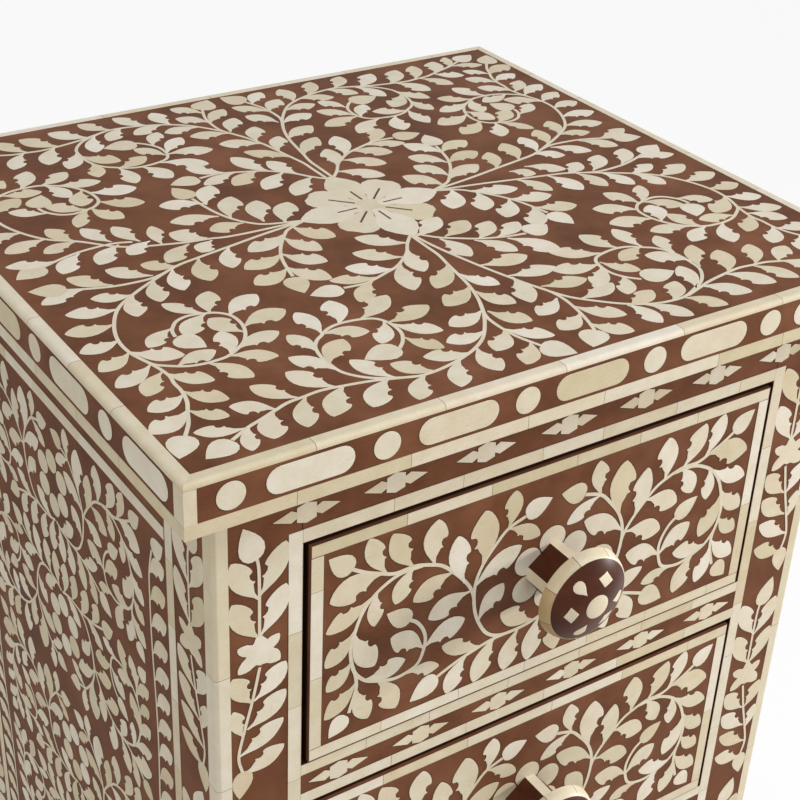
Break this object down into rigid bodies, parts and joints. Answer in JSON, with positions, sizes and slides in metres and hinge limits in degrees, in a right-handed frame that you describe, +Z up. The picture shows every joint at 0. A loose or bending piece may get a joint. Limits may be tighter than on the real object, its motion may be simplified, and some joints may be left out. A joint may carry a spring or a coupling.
{
  "type": "chest of drawers",
  "caption": "Tall narrow chest of inset drawers in a post and rail frame, with round turned knobs and floral bone inlay.",
  "frame": {"origin": "on the floor, at the bottom centre of the whole chest's box with the drawers shut", "axes": "+Z up, -Y towards the drawer fronts, +X to the right as seen from the front"},
  "size_m": [0.45, 0.434, 1.2],
  "materials": {
    "inlaid_board": "satin lacquered brown resin with bone inlay",
    "painted_back": "matt brown paint",
    "bare_wood": "sanded and waxed",
    "inlaid_knob": "gloss lacquered bone and brown resin on a wood core",
    "steel_screw": "zinc plated"
  },
  "bodies": {
    "carcass": {"top_board": "inlaid_board", "front_left_post": "inlaid_board", "front_right_post": "inlaid_board", "rear_left_post": "inlaid_board", "rear_right_post": "inlaid_board", "left_side_panel": "inlaid_board", "right_side_panel": "inlaid_board", "back_panel": "painted_back", "bottom_board": "bare_wood", "left_runners": "bare_wood", "right_runners": "bare_wood", "top_rail": "inlaid_board", "bottom_rail": "inlaid_board", "divider_rail_1": "inlaid_board", "divider_rail_2": "inlaid_board", "divider_rail_3": "inlaid_board", "divider_rail_4": "inlaid_board", "divider_rail_5": "inlaid_board"},
    "drawer_1": {"drawer_1_front": "inlaid_board", "drawer_1_left_side": "bare_wood", "drawer_1_right_side": "bare_wood", "drawer_1_back": "bare_wood", "drawer_1_bottom": "bare_wood", "drawer_1_knob": "inlaid_knob", "drawer_1_knob_screw": "steel_screw"},
    "drawer_2": {"drawer_2_front": "inlaid_board", "drawer_2_left_side": "bare_wood", "drawer_2_right_side": "bare_wood", "drawer_2_back": "bare_wood", "drawer_2_bottom": "bare_wood", "drawer_2_knob": "inlaid_knob", "drawer_2_knob_screw": "steel_screw"},
    "drawer_3": {"drawer_3_front": "inlaid_board", "drawer_3_left_side": "bare_wood", "drawer_3_right_side": "bare_wood", "drawer_3_back": "bare_wood", "drawer_3_bottom": "bare_wood", "drawer_3_knob": "inlaid_knob", "drawer_3_knob_screw": "steel_screw"},
    "drawer_4": {"drawer_4_front": "inlaid_board", "drawer_4_left_side": "bare_wood", "drawer_4_right_side": "bare_wood", "drawer_4_back": "bare_wood", "drawer_4_bottom": "bare_wood", "drawer_4_knob": "inlaid_knob", "drawer_4_knob_screw": "steel_screw"},
    "drawer_5": {"drawer_5_front": "inlaid_board", "drawer_5_left_side": "bare_wood", "drawer_5_right_side": "bare_wood", "drawer_5_back": "bare_wood", "drawer_5_bottom": "bare_wood", "drawer_5_knob": "inlaid_knob", "drawer_5_knob_screw": "steel_screw"},
    "drawer_6": {"drawer_6_front": "inlaid_board", "drawer_6_left_side": "bare_wood", "drawer_6_right_side": "bare_wood", "drawer_6_back": "bare_wood", "drawer_6_bottom": "bare_wood", "drawer_6_knob": "inlaid_knob", "drawer_6_knob_screw": "steel_screw"}
  },
  "joints": [
    {"name": "drawer_1_slide", "type": "slide", "parent": "carcass", "child": "drawer_1", "axis": [0, -1, 0], "range_m": [0, 0.24]},
    {"name": "drawer_2_slide", "type": "slide", "parent": "carcass", "child": "drawer_2", "axis": [0, -1, 0], "range_m": [0, 0.24]},
    {"name": "drawer_3_slide", "type": "slide", "parent": "carcass", "child": "drawer_3", "axis": [0, -1, 0], "range_m": [0, 0.24]},
    {"name": "drawer_4_slide", "type": "slide", "parent": "carcass", "child": "drawer_4", "axis": [0, -1, 0], "range_m": [0, 0.24]},
    {"name": "drawer_5_slide", "type": "slide", "parent": "carcass", "child": "drawer_5", "axis": [0, -1, 0], "range_m": [0, 0.24]},
    {"name": "drawer_6_slide", "type": "slide", "parent": "carcass", "child": "drawer_6", "axis": [0, -1, 0], "range_m": [0, 0.24]}
  ]
}
